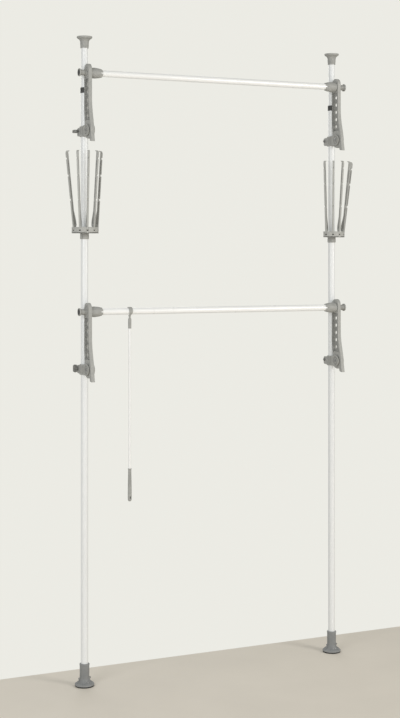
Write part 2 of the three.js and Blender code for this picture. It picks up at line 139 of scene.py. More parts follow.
def turned(profile, radius=0.6, segments=64, steps=3):
    """Turns a profile of (radius, height) points about Z, with its corners rounded."""
    points = fillet(profile, radius, steps, on_axis=True)
    bm = bmesh.new()
    rings = []
    for r, z in points:
        if r < 1e-6:
            rings.append([bm.verts.new((0, 0, z))])
            continue
        angles = [2 * math.pi * k / segments for k in range(segments)]
        rings.append([bm.verts.new((r * math.cos(a), r * math.sin(a), z)) for a in angles])
    for i, low in enumerate(rings):
        high = rings[(i + 1) % len(rings)]
        if len(low) == 1 and len(high) == 1:
            continue
        for k in range(segments):
            m = (k + 1) % segments
            if len(low) == 1:
                bm.faces.new((low[0], high[m], high[k]))
            elif len(high) == 1:
                bm.faces.new((low[k], low[m], high[0]))
            else:
                bm.faces.new((low[k], low[m], high[m], high[k]))
    return to_mesh(bm)


def prism(outline, low, high, bevel=0.5, steps=2, plane="side"):
    """A plate with rounded rims. A side outline is (forward, up) and runs along X; a flat one
    is (x, y) and runs along Z."""
    bm = bmesh.new()
    caps = []
    for level in (low, high):
        if plane == "side":
            ring = [bm.verts.new((level, -f, u)) for f, u in outline]
        else:
            ring = [bm.verts.new((a, b, level)) for a, b in outline]
        caps.append(bm.faces.new(ring))
    count = len(outline)
    lower, upper = list(caps[0].verts), list(caps[1].verts)
    for k in range(count):
        m = (k + 1) % count
        bm.faces.new((lower[k], lower[m], upper[m], upper[k]))
    bmesh.ops.recalc_face_normals(bm, faces=bm.faces)
    if bevel:
        rims = [edge for face in caps for edge in face.edges]
        bmesh.ops.bevel(bm, geom=rims, offset=bevel, segments=steps, profile=0.5,
                        affect="EDGES", clamp_overlap=True)
    return to_mesh(bm)


def block(x_range, y_range, z_range, bevel=0.4):
    outline = [(-y_range[0], z_range[0]), (-y_range[1], z_range[0]),
               (-y_range[1], z_range[1]), (-y_range[0], z_range[1])]
    if bevel:
        outline = fillet(outline, bevel, 2)
    return prism(outline, x_range[0], x_range[1], bevel)


def moved(mesh, matrix):
    """A changed copy; a mirrored one keeps its faces outward."""
    copy = mesh.copy()
    copy.transform(matrix)
    if matrix.determinant() < 0:
        copy.flip_normals()
    return copy


def shift(mesh, x=0, y=0, z=0):
    return moved(mesh, Matrix.Translation((x, y, z)))


def spin(mesh, degrees, axis="Z"):
    return moved(mesh, Matrix.Rotation(math.radians(degrees), 4, axis))


def along_x(mesh):
    """Lays a turned solid down, so that its height runs along +X."""
    return spin(mesh, 90, "Y")


def applied(mesh, kind, **settings):
    """The mesh after one modifier."""
    holder = bpy.data.objects.new("work", mesh)
    scene.collection.objects.link(holder)
    modifier = holder.modifiers.new(kind, kind)
    for name, value in settings.items():
        setattr(modifier, name, value)
    graph = bpy.context.evaluated_depsgraph_get()
    result = bpy.data.meshes.new_from_object(holder.evaluated_get(graph))
    bpy.data.objects.remove(holder)
    return result


def carved(mesh, added=(), cut=()):
    """Joins the added solids to the mesh, then takes the cut ones away."""
    for solids, operation in ((added, "UNION"), (cut, "DIFFERENCE")):
        if not solids:
            continue
        tools = bpy.data.collections.new("tools")
        scene.collection.children.link(tools)
        for solid in solids:
            tools.objects.link(bpy.data.objects.new("tool", solid))
        mesh = applied(mesh, "BOOLEAN", operation=operation, operand_type="COLLECTION",
                       collection=tools, solver="EXACT")
        for tool in list(tools.objects):
            bpy.data.objects.remove(tool)
        bpy.data.collections.remove(tools)
    return mesh


def softened(mesh, width, steps=2):
    """Rounds the sharp edges that carving leaves."""
    bm = bmesh.new()
    bm.from_mesh(mesh)
    bmesh.ops.remove_doubles(bm, verts=bm.verts, dist=0.01)
    bmesh.ops.dissolve_degenerate(bm, edges=bm.edges, dist=0.01)
    bm.to_mesh(mesh)
    bm.free()
    return applied(mesh, "BEVEL", width=width, segments=steps, limit_method="ANGLE",
                   angle_limit=math.radians(40), use_clamp_overlap=True, miter_outer="MITER_ARC")


# ---------------------------------------------------------------- materials


def linear(channel):
    return channel / 12.92 if channel <= 0.04045 else ((channel + 0.055) / 1.055) ** 2.4


def shade(red, green, blue):
    return (linear(red), linear(green), linear(blue), 1)


def coat(name, colour, roughness, mottle, grain, edge_highlight_and_hollow_shade=0.0, metallic=0.0, gloss=0.0, streak=1.0):
    """A procedural finish. mottle is (patch size in mm, how much the colour varies), grain is
    (grain size in mm, depth in mm), the amount after grain paints a highlight that pales raised
    edges and paints shade that darkens hollows, gloss is a clear coat,
    and streak draws the patches out along Z."""
    material = bpy.data.materials.new(name)
    material.use_nodes = True
    nodes, links = material.node_tree.nodes, material.node_tree.links
    shader = nodes["Principled BSDF"]
    shader.inputs["Metallic"].default_value = metallic
    shader.inputs["Coat Weight"].default_value = gloss
    shader.inputs["Coat Roughness"].default_value = 0.12
    place = nodes.new("ShaderNodeTexCoord")
    stretch = nodes.new("ShaderNodeMapping")
    stretch.inputs["Scale"].default_value = (1, 1, 1 / streak)
    links.new(place.outputs["Object"], stretch.inputs["Vector"])

    def noise(size, detail, source):
        node = nodes.new("ShaderNodeTexNoise")
        node.inputs["Scale"].default_value = 1 / (size * MM)
        node.inputs["Detail"].default_value = detail
        links.new(source, node.inputs["Vector"])
        return node.outputs["Fac"]

    def ramp(source, low, high):
        node = nodes.new("ShaderNodeValToRGB")
        node.color_ramp.elements[0].position = low[0]
        node.color_ramp.elements[0].color = low[1]
        node.color_ramp.elements[1].position = high[0]
        node.color_ramp.elements[1].color = high[1]
        links.new(source, node.inputs["Fac"])
        return node.outputs["Color"]

    def tint(by):
        return tuple(min(1, c * by) for c in colour[:3]) + (1,)

    patches = noise(mottle[0], 5, stretch.outputs["Vector"])
    body = ramp(patches, (0.3, tint(1 - mottle[1])), (0.7, tint(1 + mottle[1])))
    # Painted highlight and painted shade: raised edges, found by pointiness, are paled towards a lighter
    # tint, and hollows are darkened towards a darker tint.
    if edge_highlight_and_hollow_shade:
        geometry = nodes.new("ShaderNodeNewGeometry")
        edges = ramp(geometry.outputs["Pointiness"], (0.505, (0, 0, 0, 1)), (0.56, (edge_highlight_and_hollow_shade,) * 3 + (1,)))
        hollows = ramp(geometry.outputs["Pointiness"], (0.43, (edge_highlight_and_hollow_shade,) * 3 + (1,)), (0.495, (0, 0, 0, 1)))
        for mask, target in ((edges, tint(1.45)), (hollows, tint(0.55))):
            blend = nodes.new("ShaderNodeMixRGB")
            blend.inputs["Color2"].default_value = target
            links.new(mask, blend.inputs["Fac"])
            links.new(body, blend.inputs["Color1"])
            body = blend.outputs["Color"]
    links.new(body, shader.inputs["Base Color"])
    rub = noise(mottle[0] / 3, 3, place.outputs["Object"])
    spread = nodes.new("ShaderNodeMapRange")
    spread.inputs["To Min"].default_value = roughness * 0.85
    spread.inputs["To Max"].default_value = min(1, roughness * 1.2)
    links.new(rub, spread.inputs["Value"])
    links.new(spread.outputs["Result"], shader.inputs["Roughness"])
    bump = nodes.new("ShaderNodeBump")
    bump.inputs["Strength"].default_value = 0.6
    bump.inputs["Distance"].default_value = grain[1] * MM
    links.new(noise(grain[0], 2, place.outputs["Object"]), bump.inputs["Height"])
    links.new(bump.outputs["Normal"], shader.inputs["Normal"])
    return material


# The amount a finish gives after its grain is a painted highlight on raised edges and painted shade in
# hollows.
FINISHES = {
    "white_enamel": coat("white_enamel", shade(0.935, 0.94, 0.94), 0.36, (60, 0.02), (1.6, 0.05),
                         gloss=0.25, streak=6),
    "white_rail": coat("white_rail", shade(0.97, 0.97, 0.965), 0.28, (80, 0.015), (2.2, 0.03), gloss=0.4),
    "grey_plastic": coat("grey_plastic", shade(0.63, 0.63, 0.615), 0.55, (14, 0.07), (0.7, 0.06), edge_highlight_and_hollow_shade=0.55),
    "foot_plastic": coat("foot_plastic", shade(0.545, 0.55, 0.55), 0.58, (16, 0.07), (0.7, 0.06), edge_highlight_and_hollow_shade=0.55),
    "blade_plastic": coat("blade_plastic", shade(0.655, 0.655, 0.64), 0.5, (18, 0.05), (0.8, 0.04),
                          edge_highlight_and_hollow_shade=0.45),
    "knob_plastic": coat("knob_plastic", shade(0.50, 0.50, 0.485), 0.5, (10, 0.07), (0.6, 0.06), edge_highlight_and_hollow_shade=0.5),
    "dark_plastic": coat("dark_plastic", shade(0.27, 0.27, 0.265), 0.55, (8, 0.08), (0.5, 0.06), edge_highlight_and_hollow_shade=0.4),
    "rubber": coat("rubber", shade(0.13, 0.13, 0.13), 0.85, (6, 0.12), (0.5, 0.08), edge_highlight_and_hollow_shade=0.3),
    "steel": coat("steel", shade(0.66, 0.66, 0.66), 0.34, (4, 0.08), (0.5, 0.02), edge_highlight_and_hollow_shade=0.2, metallic=1.0),
}


# ---------------------------------------------------------------- placing


def place(mesh, name, body, finish, where, *nodes, tone=None):
    """Puts a solid drawn in millimetres into the frame, on its body, for the CAD nodes it stands for.
    tone names a finish of another shade, used in place of finish."""
    piece_mesh = moved(mesh, where @ Matrix.Scale(MM, 4))
    piece_mesh.materials.clear()
    piece_mesh.materials.append(FINISHES[tone or finish])
    piece_mesh.shade_smooth()
    piece_mesh.set_sharp_from_angle(angle=SHARP_ANGLE)
    piece = bpy.data.objects.new(name, piece_mesh)
    scene.collection.objects.link(piece)
    weights = piece.modifiers.new("weights", "WEIGHTED_NORMAL")
    weights.keep_sharp = True
    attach(piece, body)
    if nodes:
        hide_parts(*nodes)
    return piece


def at(x, y, z, turn=0.0):
    return Matrix.Translation((x, y, z)) @ Matrix.Rotation(turn, 4, "Z")


# ---------------------------------------------------------------- poles

TUBE_WALL = 1.2
FOOT_RADIUS = 37.5
FOOT_HEIGHT = 87
FOOT_RIBS = 6
CAP_RADIUS = 30
LIE_ALONG_Y = Matrix.Rotation(math.radians(90), 4, "X")


def tube(radius, length):
    """A drawn tube with rolled lips, standing on the plane Z = 0."""
    return turned([(radius - TUBE_WALL, 0), (radius, 0), (radius, length), (radius - TUBE_WALL, length)],
                  0.5, 72, 2)


def foot():
    """The ribbed foot with its two eyelets, and the two studs on its front."""
    shell = turned([
        (0, 4.3), (FOOT_RADIUS, 4.3, 0.8), (FOOT_RADIUS, 9, 1.6), (34, 11.2, 2), (26, 15, 6), (21, 21, 6),
        (18.5, 29, 6), (18.5, 79.6, 0.4), (19.2, 80.4, 0.4), (19.2, 85.2, 0.9), (17.4, FOOT_HEIGHT, 0.8),
        (14.3, FOOT_HEIGHT, 0.4), (14.3, 8), (0, 8),
    ], 0.6, 80)
    rib_outline = fillet([(17.5, 9), (34.5, 9), (34.8, 12.2), (24, 19.6), (20, 30), (17.5, 31)], 1.6)
    ribs = [spin(prism(rib_outline, -1.3, 1.3, 0.4), (i + 0.5) * 360 / FOOT_RIBS) for i in range(FOOT_RIBS)]
    eyelets = []
    eyes = []
    for x in (-22, 22):
        lug = moved(turned([(0, -1.6), (4, -1.6), (4, 1.6), (0, 1.6)], 0.6, 32, 2), LIE_ALONG_Y)
        eyelets.append(shift(lug, x, 0, 30))
        eye = moved(turned([(0, -3), (1.8, -3), (1.8, 3), (0, 3)], 0, 24), LIE_ALONG_Y)
        eyes.append(shift(eye, x * 1.02, 0, 30))
    studs = []
    for x in (-4.6, 4.6):
        stud = turned([(0, 0), (2.1, 0), (2.1, 2.2, 0.6), (0, 2.8)], 0.3, 20, 2)
        stud = moved(stud, Matrix.Rotation(math.radians(52), 4, "X"))
        studs.append(shift(stud, x, -23.4, 17.4))
    return softened(carved(shell, [*ribs, *eyelets], eyes), 0.35), studs


def foot_pad():
    tread = []
    for i in range(3):
        inner = 8 + i * 9
        tread.append(turned([(inner, -1), (inner + 3, -1), (inner + 3, 0.8), (inner, 0.8)], 0.3, 48, 2))
    disc = turned([(0, 0), (36, 0, 0.4), (37, 1, 0.6), (37, 4, 0.5), (0, 4)], 0.5, 80)
    return carved(disc, (), tread)


def ceiling_cap():
    """Drawn down from the ceiling plane, Z = 0."""
    shell = turned([
        (12.8, -45), (15.8, -45, 0.6), (16.1, -40.6, 0.3), (15.5, -40, 0.3), (15.5, -38.8, 0.3),
        (16.2, -38.2, 0.3), (17, -19, 4), (20.5, -12, 5), (28.6, -6.6, 2), (28.8, -5.2, 0.3),
        (CAP_RADIUS, -5, 0.8), (CAP_RADIUS, 0, 0.8), (0, 0), (0, -8), (12.8, -8),
    ], 0.5, 80)
    rim_groove = turned([(24, -1), (25.6, -1), (25.6, 1), (24, 1)], 0.2, 48, 2)
    return softened(carved(shell, (), [rim_groove]), 0.3)


def tube_lock():
    """The collar where the poles telescope, standing on Z = 0, with its lever behind."""
    collar = turned([
        (12.8, 0), (15.6, 0, 0.4), (16, 1, 0.4), (16, 8.4, 0.3), (15.3, 9, 0.2), (15.3, 10.2, 0.2),
        (16, 10.8, 0.3), (16, 20, 0.5), (15, 21, 0.5), (12.8, 21),
    ], 0.4, 64)
    front = block((-20, 20), (-20, -13.7), (-1, 22), 0)
    lever_outline = fillet([
        (-13.5, 3.4), (-16.6, 3), (-19, 5, 1.4), (-18.2, 17.4, 1.6), (-15, 18), (-13.5, 17),
    ], 0.7)
    lever = prism(lever_outline, -7, 7, 1.1, 3)
    ridges = []
    for z in (7.2, 9.4, 11.6, 13.8):
        ridge = turned([(0, -5), (0.5, -5), (0.5, 5), (0, 5)], 0.2, 10, 1)
        ridges.append(shift(along_x(ridge), 0, 19, z))
    slit = block((-0.5, 0.5), (-20, -10), (-1, 6), 0)
    side_slits = [spin(block((-0.5, 0.5), (-20, -10), (14, 22), 0), turn) for turn in (60, 300)]
    return softened(carved(collar, [lever], [front, slit, *side_slits, *ridges]), 0.2)


for name, side in SIDES.items():
    axis = middle(f"{name}_lower_tube")
    floor_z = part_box(f"{name}_foot_pad")[0].z
    at_floor = at(axis.x, axis.y, floor_z)
    shell, studs = foot()
    place(foot_pad(), f"{name}_foot_pad_rubber", "poles", "rubber", at_floor, f"{name}_foot_pad")
    place(shell, f"{name}_foot_shell", "poles", "grey_plastic", at_floor, f"{name}_foot",
          tone="foot_plastic")
    for i, stud in enumerate(studs):
        place(stud, f"{name}_foot_stud_{i + 1}", "poles", "steel", at_floor)
    for level, radius, body in (("lower", 14, "poles"), ("upper", 12.5, f"{name}_upper_pole")):
        low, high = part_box(f"{name}_{level}_tube")
        length = (high.z - low.z) / MM
        place(tube(radius, length), f"{name}_{level}_pole_tube", body, "white_enamel",
              at(axis.x, axis.y, low.z), f"{name}_{level}_tube")
    lock_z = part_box(f"{name}_tube_lock")[0].z
    place(tube_lock(), f"{name}_lock_collar", "poles", "dark_plastic",
          at(axis.x, axis.y, lock_z), f"{name}_tube_lock")
    ceiling_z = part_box(f"{name}_ceiling_cap")[1].z
    place(ceiling_cap(), f"{name}_cap_shell", f"{name}_upper_pole", "grey_plastic",
          at(axis.x, axis.y, ceiling_z), f"{name}_ceiling_cap")


# ---------------------------------------------------------------- clamps

PIVOT_FORWARD = 54
PINCH_BACK = 28
CLAMP_LOW = -22.5
CLAMP_HIGH = 17.5
EAR_INNER = 7.3
EAR_OUTER = 14
EAR_RADIUS = 22.6
BOSS_GROOVE = (11.5, 17.5)
UNDERCUT_RADIUS = 19


def ear_outline():
    points = [(30, 20, 6), (8, 16, 0), (8, -20, 0), (30, -22, 6)]
    points += arc((PIVOT_FORWARD, 0), EAR_RADIUS, -100, 100, 40)
    return fillet(points, 4)


def annular(inner, outer, low, high):
    """A ring cutter about the pivot axis, between two X places."""
    ring = turned([(inner, low), (outer, low), (outer, high), (inner, high)], 0.3, 56, 2)
    return shift(along_x(ring), 0, -PIVOT_FORWARD, 0)


def rod_x(radius, low, high, segments=40):
    return along_x(turned([(0, low), (radius, low), (radius, high), (0, high)], 0, segments, 1))


def clamp():
    collar = turned([
        (10, CLAMP_LOW), (18, CLAMP_LOW, 0.6), (19, CLAMP_LOW + 1.2, 0.8), (19, CLAMP_HIGH - 1.2, 0.8),
        (18, CLAMP_HIGH, 0.6), (10, CLAMP_HIGH),
    ], 0.5, 72)
    bore = turned([
        (0, CLAMP_LOW - 2), (14.3, CLAMP_LOW - 2), (14.3, CLAMP_HIGH + 2), (0, CLAMP_HIGH + 2),
    ], 0, 72)
    ears = []
    cuts = [bore]
    for sign in SIDES.values():
        near, far = sorted((sign * EAR_INNER, sign * EAR_OUTER))
        ears.append(prism(ear_outline(), near, far, 1.0, 3))
        low, high = sorted((sign * (EAR_OUTER - 1.6), sign * (EAR_OUTER + 2)))
        cuts.append(annular(BOSS_GROOVE[0], BOSS_GROOVE[1], low, high))
        near, far = sorted((sign * (EAR_INNER - 0.5), sign * (EAR_INNER + 2.9)))
        cuts.append(annular(UNDERCUT_RADIUS, EAR_RADIUS + 4.4, near, far))
        dot = rod_x(1.3, low, high, 20)
        cuts.append(shift(dot, 0, -PIVOT_FORWARD + 8.5, 18.4))
    pinch = prism(fillet([
        (-10, CLAMP_HIGH - 3, 0), (-34, CLAMP_HIGH - 5), (-38, CLAMP_HIGH - 9), (-38, CLAMP_LOW + 9),
        (-34, CLAMP_LOW + 4), (-10, CLAMP_LOW + 2, 0),
    ], 2.2), -16.5, 16.5, 1.4, 3)
    cuts.append(block((-1.2, 1.2), (10, 45), (CLAMP_LOW - 1, CLAMP_HIGH + 1), 0))
    cuts.append(shift(rod_x(3.3, -30, 30), 0, PINCH_BACK, 0))
    cuts.append(shift(rod_x(4.3, -30, 30), 0, -PIVOT_FORWARD, 0))
    for degrees in (28, 52, 76, 284, 308, 332):
        groove = block((-0.7, 0.7), (-22, -18.2), (CLAMP_LOW + 5, CLAMP_HIGH - 5), 0)
        cuts.append(spin(groove, degrees))
    for sign in SIDES.values():
        pocket = block(sorted((sign * 9, sign * 13)), (19.6, 22.4), (CLAMP_LOW - 1, CLAMP_HIGH + 1), 0)
        cuts.append(pocket)
    return softened(carved(collar, [*ears, pinch], cuts), 0.3)


def pivot_pin():
    """A rivet along X with domed heads in the ears' bosses."""
    reach = 14.3
    return along_x(turned([
        (0, -reach - 2.4), (3, -reach - 2.3, 1), (7, -reach - 1.0, 0.6), (7, -reach, 0.2), (4, -reach, 0.2),
        (4, reach, 0.2), (7, reach, 0.2), (7, reach + 1.0, 0.6), (3, reach + 2.3, 1), (0, reach + 2.4),
    ], 0.4, 40))


def wing_screw(turn):
    """The pinch screw along +X, with a butterfly head turned by an angle in degrees."""
    shank = turned([(0, -23.5), (2.4, -23.5), (3, -22.6), (3, 22.5), (0, 22.5)], 0.3, 32, 2)
    threads = []
    for i in range(5):
        z = -22.2 + i * 1.1
        threads.append(turned([(2.55, z), (3.4, z - 0.35), (3.4, z + 0.35)], 0, 28, 1))
    hub = turned([(0, 18), (5, 18, 0.5), (6.6, 21, 1.5), (6.6, 28, 1), (0, 28)], 0.5, 48)
    half = [(5, 18.5, 1), (8, 22, 2), (14, 21.5, 3), (15.3, 30, 5), (11.5, 35.5, 3)]
    wing = half + [(-x, z, radius) for x, z, radius in reversed(half)]
    blade = prism(fillet(wing, 3, 5), -5.4, 5.4, 1.9, 4, plane="flat")
    blade = moved(blade, LIE_ALONG_Y)
    slot_outline = fillet([(-6, 34.2), (6, 34.2), (6, 38), (-6, 38)], 0.6)
    end_slot = moved(prism(slot_outline, -1.4, 1.4, 0, plane="flat"), LIE_ALONG_Y)
    head = carved(spin(blade, turn), [hub], [spin(end_slot, turn)])
    head = softened(head, 0.5, 2)
    return along_x(carved(head, [shank], threads))


def pinch_nut():
    """A chamfered hexagon nut about +X, from 0 to its own thickness."""
    hexagon = prism(arc((0, 0), 6, 0, 300, 5), 0, 4.5, 0, plane="flat")
    chamfer = turned([
        (0, -0.2), (5.1, -0.2, 0.2), (6.1, 0.9, 0.3), (6.1, 3.6, 0.3), (5.1, 4.7, 0.2), (0, 4.7),
    ], 0.2, 48)
    thread = turned([(0, -1), (3.3, -1), (3.3, 6), (0, 6)], 0, 32)
    trimmed = carved(applied_with(hexagon, chamfer, "INTERSECT"), (), [thread])
    return along_x(softened(trimmed, 0.15))


def applied_with(mesh, other, operation):
    tool = bpy.data.objects.new("tool", other)
    scene.collection.objects.link(tool)
    result = applied(mesh, "BOOLEAN", operation=operation, object=tool, solver="EXACT")
    bpy.data.objects.remove(tool)
    return result


# ---------------------------------------------------------------- swing arms

ARM_HALF = 7
ARM_WIDTH = 49
RAIL_BACK = 15
ARM_REACH = 220
HUB_RADIUS = 33
BAR_FRONT = ARM_WIDTH / 2 - RAIL_BACK
BAR_REAR = -ARM_WIDTH / 2 - RAIL_BACK
ARM_BORDER = 4
REAR_BORDER = 2
GROOVE_WIDTH = 5.6
WEB_OUT = 0.5
WEB_IN = -1.5
RIB_HALF = 1.2
HOLE_RADIUS = 7.5
HOLE_CLEARING = 12
HOLE_PITCH = 30
HOLES = [176 - HOLE_PITCH * i for i in range(5)]


def arm_outline():
    hub = arc((0, 0), HUB_RADIUS, 180, 302, 28)
    points = arc((-RAIL_BACK, ARM_REACH + 10), ARM_WIDTH / 2, 0, 180, 40)
    points += [(BAR_REAR, 85)]
    points += bezier((BAR_REAR, 85), (BAR_REAR, 58), (-HUB_RADIUS, 45), (-HUB_RADIUS, 0), 16)[:-1]
    points += hub
    points += [(22.5, -42.9), (41, -45.6, 2), (33.8, -12, 5)]
    points += bezier((33.8, -12), (33.8, 30), (BAR_FRONT, 70), (BAR_FRONT, 125), 18)
    return fillet(points, 2.5)


def rear_edge(inset):
    """The rear side of the arm from top to bottom, a little inside its outline."""
    rear = BAR_REAR + inset
    bend = bezier((rear, 85), (rear, 66), (-34 + inset, 50), (-32 + inset, 34))
    return [(rear, ARM_REACH - 22), (rear, 85)] + bend


def pocket_outline():
    """The ribbed hollow, between the front border and the wall of the rear groove."""
    front = BAR_FRONT - ARM_BORDER
    points = [(front, ARM_REACH - 24)] + rear_edge(REAR_BORDER + GROOVE_WIDTH + 1.6)[:-1]
    points += [(-22, 38), (18, 38)]
    points += bezier((18, 38), (12, 60), (front, 90), (front, 125), 12)
    return fillet(points, 1.2)


def arm():
    """An arm about its pivot, with its deep ribbed face towards +X."""
    plate = prism(arm_outline(), -ARM_HALF, ARM_HALF, 1.0, 3)
    groove = fillet(rear_edge(REAR_BORDER) + rear_edge(REAR_BORDER + GROOVE_WIDTH)[::-1], 0.6)
    cuts = [
        prism(pocket_outline(), WEB_OUT, ARM_HALF + 3, 0),
        prism(pocket_outline(), -ARM_HALF - 3, WEB_IN, 0),
        prism(groove, WEB_IN + 2, ARM_HALF + 3, 0),
        prism(groove, -ARM_HALF - 3, WEB_IN, 0),
        annular_at(19, 21, ARM_HALF - 0.7, ARM_HALF + 2, ARM_REACH),
        annular_at(19, 21, -ARM_HALF - 2, -ARM_HALF + 0.7, ARM_REACH),
    ]
    hollow = softened(carved(plate, (), cuts), 0.35)
    span = ARM_WIDTH - REAR_BORDER - GROOVE_WIDTH - 6
    centre = RAIL_BACK - (REAR_BORDER + GROOVE_WIDTH - ARM_BORDER) / 2
    length = math.hypot(span, HOLE_PITCH) / 2
    ribs = []
    for height in range(HOLES[-1] - HOLE_PITCH // 2, HOLES[0] + HOLE_PITCH // 2, HOLE_PITCH // 2):
        for sign in (-1, 1):
            slope = math.degrees(math.atan2(HOLE_PITCH, span)) * sign
            top = WEB_OUT + 4.2 + 0.2 * sign
            rib = block((WEB_OUT - 0.5, top), (-length, length), (-RIB_HALF, RIB_HALF), 0.3)
            ribs.append(shift(spin(rib, slope, "X"), 0, centre, height))
    clearings = []
    for height in HOLES:
        clearing = rod_x(HOLE_CLEARING, WEB_OUT - 1, ARM_HALF, 44)
        clearings.append(shift(clearing, 0, RAIL_BACK, height))
    truss = carved(carved(ribs[0], ribs[1:]), (), clearings)
    ribbed = carved(hollow, [truss])
    boss = turned([
        (0, WEB_OUT - 0.4), (9.4, WEB_OUT - 0.4), (9.4, WEB_OUT + 1.4), (0, WEB_OUT + 1.4),
    ], 0.5, 44, 2)
    lip = turned([(0, WEB_IN - 0.6), (9, WEB_IN - 0.6), (9, WEB_IN + 0.4), (0, WEB_IN + 0.4)], 0.3, 44, 2)
    bosses = [shift(along_x(collar), 0, RAIL_BACK, height) for collar in (boss, lip) for height in HOLES]
    bossed = carved(ribbed, bosses)
    holes = [shift(rod_x(HOLE_RADIUS, -12, 12, 44), 0, RAIL_BACK, height) for height in HOLES]
    pin_hole = rod_x(4.3, -12, 12)
    return softened(carved(bossed, (), [*holes, pin_hole]), 0.25)


def annular_at(inner, outer, low, high, height):
    """A ring cutter about the rail's axis."""
    ring = turned([(inner, low), (outer, low), (outer, high), (inner, high)], 0.2, 56, 2)
    return shift(along_x(ring), 0, RAIL_BACK, height)


def socket():
    """The rail's end socket, opening towards +X, with pointed fingers round its mouth."""
    shell = turned([
        (0, 0), (21, 0, 0.6), (21, 4.2, 0.6), (20.2, 5, 0.4), (20.6, 20, 2), (18.4, 37, 2), (15.2, 49, 0.7),
        (12.8, 49, 0.5), (12.8, 4), (0, 4),
    ], 0.6, 72)
    notches = []
    for i in range(6):
        wedge = [(0, 35.6, 1.2), (4.4, 50.5, 0), (-4.4, 50.5, 0)]
        cutter = prism(fillet(wedge, 1), 0, 18, 0, plane="flat")
        cutter = moved(cutter, Matrix.Rotation(math.radians(90), 4, "X"))
        notches.append(spin(shift(cutter, 0, -6, 0), i * 60))
        groove = block((-0.6, 0.6), (-24, -19.9), (8, 30), 0)
        notches.append(spin(groove, i * 60 + 30))
    return along_x(softened(carved(shell, (), notches), 0.45))


def peg():
    """The peg on the arm's outer face, standing out along +X, with a hollow in its end."""
    return along_x(turned([
        (0, 0), (12.5, 0, 0.4), (12.3, 1.6, 0.8), (11, 3.8, 1), (11, 23.4, 1.5), (15, 26, 1), (15, 31, 1),
        (12.6, 31, 0.5), (11.6, 28.4, 0.6), (0, 28.4),
    ], 0.6, 64))


def peg_plug():
    plug = turned([
        (0, 28), (11.4, 28), (11.2, 30, 0.5), (9, 30.4, 0.6), (8.4, 29.2, 0.5), (0, 29.2),
    ], 0.3, 56)
    cross = [block((-6, 6), (-0.8, 0.8), (28.5, 30.2), 0.3), block((-0.8, 0.8), (-6, 6), (28.5, 30.2), 0.3)]
    return along_x(carved(plug, cross))


MIRROR = Matrix.Scale(-1, 4, (1, 0, 0))
clamp_solid = clamp()
pin_solid = pivot_pin()
nut_solid = pinch_nut()
arm_solid = arm()
socket_solid = socket()
peg_solid = peg()
plug_solid = peg_plug()
screw_solids = {"upper": wing_screw(90), "lower": wing_screw(0)}

for level in LEVELS:
    hinge = Vector(joints[f"{level}_rail_swing"]["pos_m"])
    swing = f"{level}_swing_rail"
    for name, side in SIDES.items():
        pole = middle(f"{name}_lower_tube")
        at_clamp = at(pole.x, pole.y, hinge.z)
        outward = at_clamp if side > 0 else at_clamp @ MIRROR
        at_screw = outward @ Matrix.Translation((0, PINCH_BACK * MM, 0))
        at_pivot = outward @ Matrix.Translation((0, -PIVOT_FORWARD * MM, 0))
        at_rail = at_pivot @ Matrix.Translation((0, RAIL_BACK * MM, ARM_REACH * MM))
        place(clamp_solid, f"{level}_{name}_clamp_shell", f"{level}_clamps", "grey_plastic",
              at_clamp, f"{level}_{name}_clamp")
        place(pin_solid, f"{level}_{name}_pivot_rivet", f"{level}_clamps", "steel",
              at_pivot, f"{level}_{name}_pivot_pin")
        place(screw_solids[level], f"{level}_{name}_butterfly_screw", f"{level}_{name}_wing", "knob_plastic",
              at_screw, f"{level}_{name}_wing_screw")
        at_nut = at_screw @ MIRROR @ Matrix.Translation((16.8 * MM, 0, 0))
        place(nut_solid, f"{level}_{name}_hex_nut", f"{level}_clamps", "steel",
              at_nut, f"{level}_{name}_pinch_nut")
        place(arm_solid, f"{level}_{name}_swing_arm", swing, "grey_plastic",
              at_pivot, f"{level}_{name}_arm")
        face = Matrix.Translation(((ARM_HALF + GAP) * MM, 0, 0))
        place(socket_solid, f"{level}_{name}_socket_shell", swing, "grey_plastic",
              at_rail @ MIRROR @ face, f"{level}_{name}_rail_socket")
        place(peg_solid, f"{level}_{name}_peg_shell", swing, "grey_plastic",
              at_rail @ face, f"{level}_{name}_peg")
        place(plug_solid, f"{level}_{name}_peg_plug", swing, "dark_plastic", at_rail @ face)
    low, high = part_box(f"{level}_rail")
    rail = along_x(tube(12.5, (high.x - low.x) / MM))
    rail_axis = (low + high) / 2
    place(rail, f"{level}_rail_tube", swing, "white_rail",
          at(low.x, rail_axis.y, rail_axis.z), f"{level}_rail")


# ---------------------------------------------------------------- fan holders

HINGE_RADIUS = 50
HINGE_LIFT = 17
WALL_INNER = 45
WALL_OUTER = 54
BLADE_COUNT = 5
BLADE_PITCH = 32
FAN_TURN = 8
BLADE_LEANS = [7, 5.8, 5, 4.2, 3.3]
BLADE_LENGTH = 300


def sector(inner, outer, half):
    return arc((0, 0), outer, -90 - half, -90 + half, 44) + arc((0, 0), inner, -90 + half, -90 - half, 32)


